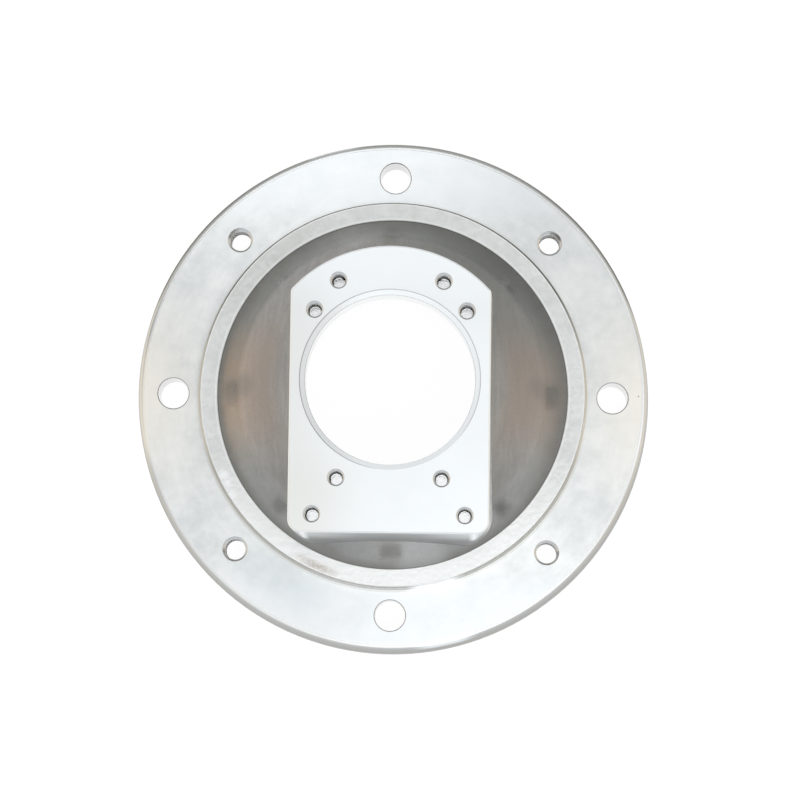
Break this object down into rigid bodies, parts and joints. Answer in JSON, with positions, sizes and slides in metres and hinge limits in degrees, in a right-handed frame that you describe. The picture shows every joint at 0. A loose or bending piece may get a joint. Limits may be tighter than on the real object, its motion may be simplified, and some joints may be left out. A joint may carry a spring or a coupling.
{
  "type": "pump bell housing",
  "caption": "Cast bell housing that joins a hydraulic pump to a flange-mounted electric motor round their coupling, with a round motor flange and a raised flat pump pad.",
  "frame": {"origin": "on the common axis of both shafts, in the plane of the motor face", "axes": "+Z along the axis from the motor to the pump, -Y towards the straight foot of the pump pad"},
  "size_m": [0.2518, 0.2518, 0.1],
  "materials": {
    "cast_aluminium": "cast skin on the bell, turned and milled faces"
  },
  "bodies": {
    "root": {"bell_housing": "cast_aluminium"}
  },
  "joints": []
}
